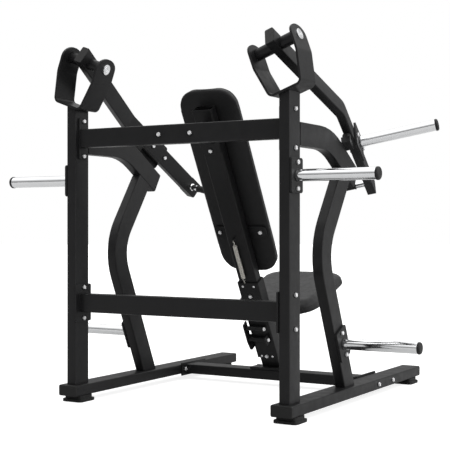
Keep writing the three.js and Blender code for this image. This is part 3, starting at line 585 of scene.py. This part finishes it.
def make_pivot(side):
    """The pivot shaft's two polished discs, each with a rounded rim and a turned centre."""
    name = side + "_pivot_shaft"
    joint = JOINTS[side + "_press"]
    axis = Vector(joint["axis"]).normalized()
    centre = Vector(joint["pos_m"])
    low, high = extent(name, centre, axis)
    points = points_of(name) - np.array(centre)
    radius = float(np.linalg.norm(np.cross(points, np.array(axis)), axis=1).max())
    groove = [(d, share * radius) for d, share in DISC_GROOVE]
    rim = [(d, radius - inside) for d, inside in DISC_RIM]
    back = [(-DISC_THICKNESS, radius), (-DISC_THICKNESS, SHAFT_RADIUS)]
    half = DISC_CENTRE + groove + rim + back
    profile = [(high + d, r) for d, r in half] + [(low - d, r) for d, r in reversed(half)]
    body = BODY_OF[name]
    turned_piece(side + "_pivot_pin", profile, centre, axis, "pin_chrome", body, [name], 72)


GRIP = {
    "core": 0.012, "collar": 0.015, "stop": 0.018, "flange": 0.004, "outer": 0.0165, "wall": 0.0005,
    "gap": 0.0003, "edge": 0.001, "rings": 13, "plain": 0.010,
}
FLANGE_ENDS = (0.003, 0.006)
STOP_ROUND = ((0.002, 0), (0.0006, 0.0006), (0, 0.003))  # before the end, inside the radius
SLEEVE_START = ((0, 0.001), (0.001, 0.002), (0.005, 0.002), (0.0065, -0.0006))
SLEEVE_END = ((0.006, -0.0006), (0.0045, 0.0015), (0.001, 0.0015), (0, 0.0005))
RING_SHAPE = ((0, -0.0006), (0.18, 0.0004), (0.32, 0.0006), (0.68, 0.0006), (0.82, 0.0004))


def make_grip(side):
    """A plated collar and end stop, and a moulded rubber sleeve with finger rings."""
    bar, sleeve = side + "_grip_bar", side + "_grip_sleeve"
    points = points_of(sleeve)
    middle = points.mean(axis=0)
    way = np.linalg.svd(points - middle, full_matrices=False)[2][0]
    if (points_of(bar).mean(axis=0) - middle) @ way > 0:
        way = -way
    start = Vector(middle)
    axis = Vector(way)
    low, high = extent(sleeve, start, axis)
    bar_low, bar_high = extent(bar, start, axis)
    body = BODY_OF[bar]
    core, collar, stop, outer = GRIP["core"], GRIP["collar"], GRIP["stop"], GRIP["outer"]
    flange, gap, edge = collar + GRIP["flange"], GRIP["gap"], GRIP["edge"]
    metal = [(bar_low, 0), (bar_low, flange), (bar_low + FLANGE_ENDS[0], flange)]
    metal += [(bar_low + FLANGE_ENDS[1], collar), (low - (gap + edge), collar)]
    metal += [(low - gap, collar - edge), (low - gap, core), (high + gap, core)]
    metal += [(high + gap, stop - edge), (high + (gap + edge), stop)]
    metal += [(bar_high - before, stop - inside) for before, inside in STOP_ROUND]
    metal.append((bar_high, 0))
    turned_piece(side + "_grip_core", metal, start, axis, "pin_chrome", body, [bar], 56)
    inner = core + GRIP["wall"]
    rubber_profile = [(low, inner)]
    rubber_profile += [(low + past, outer + rise) for past, rise in SLEEVE_START]
    pitch = (high - low - 2 * GRIP["plain"]) / GRIP["rings"]
    for i in range(GRIP["rings"]):
        at = low + GRIP["plain"] + i * pitch
        rubber_profile += [(at + share * pitch, outer + rise) for share, rise in RING_SHAPE]
    rubber_profile += [(high - before, outer + rise) for before, rise in SLEEVE_END]
    rubber_profile += [(high, inner), (low, inner)]
    turned_piece(
        side + "_grip_rubber", rubber_profile, start, axis, "grip_rubber", body, [sleeve], 56, 50,
    )


# ------------------------------------------------------------------ wire and piping

WIRE_SIDES = 8


def sweep_tube(bm, path, radius, closed=False):
    """A round tube along a list of points, with its rings turned as little as possible."""
    count = len(path)
    loops = []
    across = None
    for i, point in enumerate(path):
        before = path[i - 1] if closed or i else path[0]
        after = path[(i + 1) % count] if closed or i + 1 < count else path[-1]
        way = (after - before).normalized()
        if across is None:
            across = side_direction(way)
        else:
            across = (across - across.dot(way) * way).normalized()
        other = way.cross(across)
        turns = (2 * math.pi * k / WIRE_SIDES for k in range(WIRE_SIDES))
        loops.append([
            bm.verts.new(point + radius * (math.cos(t) * across + math.sin(t) * other)) for t in turns
        ])
    for first, second in zip(loops, loops[1:]):
        bridge(bm, first, second)
    if closed:
        bridge(bm, loops[-1], loops[0])
    else:
        bm.faces.new(loops[0][::-1])
        bm.faces.new(loops[-1])


SPRING_WIRE = 0.0013
SPRING_RADIUS = 0.0088
SPRING_PITCH = 0.0036
SPRING_SIDES = 14  # points in one turn of the coil
HOOK = {"length": 0.028, "radius": 0.0065, "inset": 0.002, "turn": 1.35, "lean": 0.4, "steps": 8}


def make_spring():
    """An extension spring, drawn out a little, with a hook at each end."""
    low, high = post_box("counterbalance_spring")
    across, rear = (low.x + high.x) / 2, (low.y + high.y) / 2
    coil_top, coil_bottom = high.z - HOOK["length"], low.z + HOOK["length"]
    radius, steps, half_turns = HOOK["radius"], HOOK["steps"], HOOK["turn"]
    path = []
    for i in reversed(range(steps + 1)):
        t = math.pi * (half_turns - half_turns * i / steps) - HOOK["lean"]
        back = rear - HOOK["inset"] + radius * math.sin(t)
        path.append(on_post(across, back, high.z - radius + radius * math.cos(t)))
    points = round((coil_top - coil_bottom) / SPRING_PITCH) * SPRING_SIDES
    for i in range(points + 1):
        t = 2 * math.pi * i / SPRING_SIDES
        up = coil_top - (coil_top - coil_bottom) * i / points
        side, back = SPRING_RADIUS * math.sin(t), SPRING_RADIUS * math.cos(t)
        path.append(on_post(across + side, rear + back, up))
    for i in range(steps + 1):
        t = math.pi * half_turns * i / steps
        back = rear - HOOK["inset"] + radius * math.sin(t)
        path.append(on_post(across, back, low.z + radius - radius * math.cos(t)))
    bm = bmesh.new()
    sweep_tube(bm, path, SPRING_WIRE)
    mesh = mesh_from(bm, "seat_spring", 60)
    piece = new_piece("seat_spring", mesh, "spring_zinc", "frame", ["counterbalance_spring"])
    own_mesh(piece)


# ------------------------------------------------------------------ pads

FOAM_ROUND = 0.011
FOAM_BACK_ROUND = 0.003
FOAM_LARGER = 0.004  # the start shape's growth at each side and in depth
FOAM_VOXEL = 0.0055
FOAM_SMOOTHING = 14
FOAM_CAP = 0.009  # the furthest that filling may move a point
BOARD = 0.011
SAME_LEVEL = 1e-4
SIM_FRAMES = 20
COVER = {
    "quality": 5, "mass": 0.3, "tension_stiffness": 18, "compression_stiffness": 18,
    "shear_stiffness": 8, "bending_stiffness": 0.6, "use_pressure": True,
    "uniform_pressure_force": 4, "vertex_group_mass": "board",
}
RIM_RAYS = 220
RIM_STEP = 0.006
RAY_START = 2.0
PIPING = {"piping": (0.70, 0.0017), "board_seam": (0.20, 0.0009)}  # share of the depth, radius


def pad_frame(name, user_side):
    """A pad's mesh, and its own frame: across, along its length, and out of its face."""
    bm = bmesh.new()
    bm.from_mesh(NODES[name].data)
    bmesh.ops.remove_doubles(bm, verts=bm.verts, dist=WELD)
    bmesh.ops.dissolve_limit(bm, angle_limit=FLAT_WITHIN, verts=bm.verts, edges=bm.edges)
    faces = (f for f in bm.faces if f.normal.dot(user_side) > 0.3)
    face = max(faces, key=lambda f: f.calc_area())
    basis = turned_frame(ACROSS, face.normal.copy())
    return bm, basis


def cut_foam(name, user_side):
    """The foam block before it is filled: a little large, with its user side rounded over."""
    bm, basis = pad_frame(name, user_side)
    low, high = local_box(name, basis)
    into = basis.to_3x3().inverted()
    height = {v: (into @ v.co).z for v in bm.verts}
    front = [e for e in bm.edges if all(height[v] > high.z - SAME_LEVEL for v in e.verts)]
    rear = [e for e in bm.edges if all(height[v] < low.z + SAME_LEVEL for v in e.verts)]
    rounding = dict(profile=0.5, affect="EDGES")
    bmesh.ops.bevel(bm, geom=front, offset=FOAM_ROUND, segments=5, **rounding)
    rear = [e for e in rear if e.is_valid]
    bmesh.ops.bevel(bm, geom=rear, offset=FOAM_BACK_ROUND, segments=2, **rounding)
    centre = (low + high) / 2
    wider = Vector((
        1 + 2 * FOAM_LARGER / (high.x - low.x), 1 + 2 * FOAM_LARGER / (high.y - low.y), 1,
    ))
    deeper = 1 + FOAM_LARGER / (high.z - low.z)
    turn = basis.to_3x3()
    for vert in bm.verts:
        local = into @ vert.co
        local.x = centre.x + wider.x * (local.x - centre.x)
        local.y = centre.y + wider.y * (local.y - centre.y)
        local.z = low.z + (local.z - low.z) * deeper
        vert.co = turn @ local
    mesh = bpy.data.meshes.new(name + "_foam")
    bm.to_mesh(mesh)
    bm.free()
    return mesh, basis, low, high


def evaluated_points(piece):
    mesh = piece.evaluated_get(bpy.context.evaluated_depsgraph_get()).to_mesh()
    flat = np.empty(len(mesh.vertices) * 3)
    mesh.vertices.foreach_get("co", flat)
    return flat.reshape(-1, 3)


def bake_modifiers(piece):
    graph = bpy.context.evaluated_depsgraph_get()
    mesh = bpy.data.meshes.new_from_object(piece.evaluated_get(graph))
    piece.modifiers.clear()
    piece.data = mesh


def fill_foam(piece, basis, low):
    """Fills the pad's cover by cloth simulation, held flat on its board."""
    start = evaluated_points(piece)
    depth = start @ np.array(basis.to_3x3())[:, 2] - low.z
    held = [int(i) for i in np.nonzero(depth < BOARD)[0]]
    piece.vertex_groups.new(name="board").add(held, 1.0, "REPLACE")
    cloth = piece.modifiers.new("cover", "CLOTH")
    settings = cloth.settings
    for key, value in COVER.items():
        setattr(settings, key, value)
    settings.effector_weights.gravity = 0
    cloth.collision_settings.use_collision = False
    cloth.point_cache.frame_start = 1
    cloth.point_cache.frame_end = SIM_FRAMES
    scene = bpy.context.scene
    for number in range(1, SIM_FRAMES + 1):
        scene.frame_set(number)
    moved = evaluated_points(piece) - start
    length = np.linalg.norm(moved, axis=1, keepdims=True)
    allowed = np.minimum(1.0, FOAM_CAP / np.maximum(length, 1e-9))
    piece.modifiers.clear()
    piece.data.vertices.foreach_set("co", (start + moved * allowed).ravel())
    piece.data.update()
    scene.frame_set(1)


def rim_path(basis, low, high, depth, surface):
    """Places round a pad's outline at one depth, each pulled onto the pad's surface."""
    middle = (low + high) / 2
    turn = basis.to_3x3()
    path = []
    for i in range(RIM_RAYS):
        t = 2 * math.pi * i / RIM_RAYS
        way = Vector((math.cos(t), math.sin(t), 0))
        origin = Vector((middle.x, middle.y, depth)) + RAY_START * way
        hit = surface.ray_cast(turn @ origin, -(turn @ way))[0]
        if hit is not None:
            path.append(hit)
    return evenly(path, RIM_STEP)


def evenly(path, step):
    """The same closed path with points at even distances."""
    closed = path + [path[0]]
    lengths = [0.0]
    for first, second in zip(closed, closed[1:]):
        lengths.append(lengths[-1] + (second - first).length)
    count = max(12, round(lengths[-1] / step))
    result = []
    k = 0
    for i in range(count):
        at = lengths[-1] * i / count
        while lengths[k + 1] < at:
            k += 1
        share = (at - lengths[k]) / (lengths[k + 1] - lengths[k])
        result.append(closed[k].lerp(closed[k + 1], share))
    return result


def make_pad(name, user_side):
    mesh, basis, low, high = cut_foam(name, user_side)
    piece = new_piece(name + "_cover", mesh, "pad_vinyl", BODY_OF[name], [name])
    remesh = piece.modifiers.new("voxels", "REMESH")
    remesh.mode = "VOXEL"
    remesh.voxel_size = FOAM_VOXEL
    bake_modifiers(piece)
    fill_foam(piece, basis, low)
    smooth = piece.modifiers.new("smooth", "CORRECTIVE_SMOOTH")
    smooth.use_only_smooth = True
    smooth.iterations = FOAM_SMOOTHING
    smooth.factor = 0.5
    piece.modifiers.new("fine", "SUBSURF").levels = 1
    bake_modifiers(piece)
    piece.data.materials.clear()
    piece.data.materials.append(MATERIALS["pad_vinyl"])
    piece.data.shade_smooth()
    vertices = [v.co.copy() for v in piece.data.vertices]
    polygons = [tuple(p.vertices) for p in piece.data.polygons]
    surface = BVHTree.FromPolygons(vertices, polygons)
    for part, (share, radius) in PIPING.items():
        depth = low.z + share * (high.z - low.z)
        path = rim_path(basis, low, high, depth, surface)
        bm = bmesh.new()
        sweep_tube(bm, path, radius, closed=True)
        label = name + "_" + part
        new_piece(label, mesh_from(bm, label, 60), "pad_vinyl", BODY_OF[name])


# ------------------------------------------------------------------ seat slide details

LATCH_TUBES_APART = 0.064
LUG_THICKNESS = 0.008
GAP = 0.0003
SLEEVE_FACE_AREA = 0.002  # smaller faces belong to other parts of the carriage


def sleeve_face():
    """The slide sleeve's rear face: its depth and its lower and upper ends up the post."""
    mesh = NODES["seat_carriage"].data
    faces = [p for p in mesh.polygons if POST_REAR.dot(p.normal) > 0.99]
    depth = max(POST_REAR.dot(p.center) for p in faces if p.area > SLEEVE_FACE_AREA)
    level = [p for p in faces if abs(POST_REAR.dot(p.center) - depth) < SAME_LEVEL]
    ups = [POST_UP.dot(mesh.vertices[i].co) for p in level for i in p.vertices]
    return depth, min(ups), max(ups)


def make_slide_details():
    """Rivets on the sleeve's rear face, and the nuts on the latch's pivot and cross tube."""
    depth, bottom, top = sleeve_face()
    bm = bmesh.new()
    for side in (-1, 1):
        for up in (top - RIVET["below_top"], bottom + RIVET["above_bottom"]):
            rivet(bm, on_post(side * RIVET["across"], depth, up), POST_REAR)
    mesh = mesh_from(bm, "slide_rivets", 50)
    new_piece("slide_rivets", mesh, "spring_zinc", "seat", material=BOLT_ZINC)
    pivot = Vector(JOINTS["latch_lever"]["pos_m"])
    roller = pivot + LATCH_TUBES_APART * POST_UP
    lug = extent("seat_latch", pivot, ACROSS)[0] - GAP - LUG_THICKNESS
    latch = lug + LUG_THICKNESS + GAP
    for body, centre, edge in (("seat", pivot, lug), ("seat_latch", roller, latch)):
        nut = bmesh.new()
        face = centre + (edge - HEAD_HEIGHT) * ACROSS
        bolt(nut, face, -ACROSS, POST_UP)
        mesh = mesh_from(nut, body + "_nut", 30)
        new_piece(body + "_nut", mesh, "spring_zinc", body, material=BOLT_ZINC)


# ------------------------------------------------------------------ floor

FLOOR_RADIUS = 40
FLOOR_GLOW = 0.8  # seen by the camera only, so that the floor is as white as the backdrop


def make_floor():
    bm = bmesh.new()
    bmesh.ops.create_circle(bm, cap_ends=True, radius=FLOOR_RADIUS, segments=96)
    mesh = mesh_from(bm, "floor")
    material, tree, shader, place = base_material("floor", (0.5, 0.5, 0.5), 0.8)
    clouds = noise(tree, place, 0.7, detail=3)
    vary_color(tree, shader, clouds, (0.49, 0.49, 0.49), (0.51, 0.51, 0.51))
    shader.inputs["Emission Color"].default_value = (1, 1, 1, 1)
    seen = node(tree, "ShaderNodeLightPath").outputs["Is Camera Ray"]
    tree.links.new(ramp(tree, seen, 0, FLOOR_GLOW), shader.inputs["Emission Strength"])
    mesh.materials.append(material)
    floor = bpy.data.objects.new("floor", mesh)
    bpy.context.scene.collection.objects.link(floor)


# ------------------------------------------------------------------ the whole machine

make_camera()
make_light()
make_floor()

PLACES = ("upper_storage", "lower_storage", "loading")
HORNS = [side + "_" + place + "_horn" for side in SIDES for place in PLACES]
TURNED = {horn + part for horn in HORNS for part in ("_sleeve", "_cap")}
TURNED |= {side + part for side in SIDES for part in ("_pivot_shaft", "_grip_bar", "_grip_sleeve")}
CAPPED = {side + "_" + end + "_rail_cap" for side in SIDES for end in ("rear", "front")}
SOFT = {"back_pad", "seat_pad", "counterbalance_spring"}

for name in NODES:
    if name not in TURNED | CAPPED | SOFT:
        rounds = (size for end, size in EDGE_ROUNDS.items() if name.endswith(end))
        refined(name, next(rounds, EDGE_ROUND))
make_bolts()
for horn in HORNS:
    make_horn(horn)
for side in SIDES:
    make_pivot(side)
    make_rail_cap(side, "rear")
    make_rail_cap(side, "front")
    make_grip(side)
make_spring()
make_slide_details()
make_pad("back_pad", Vector((0, -1, 0)))
make_pad("seat_pad", Vector((0, 0, 1)))
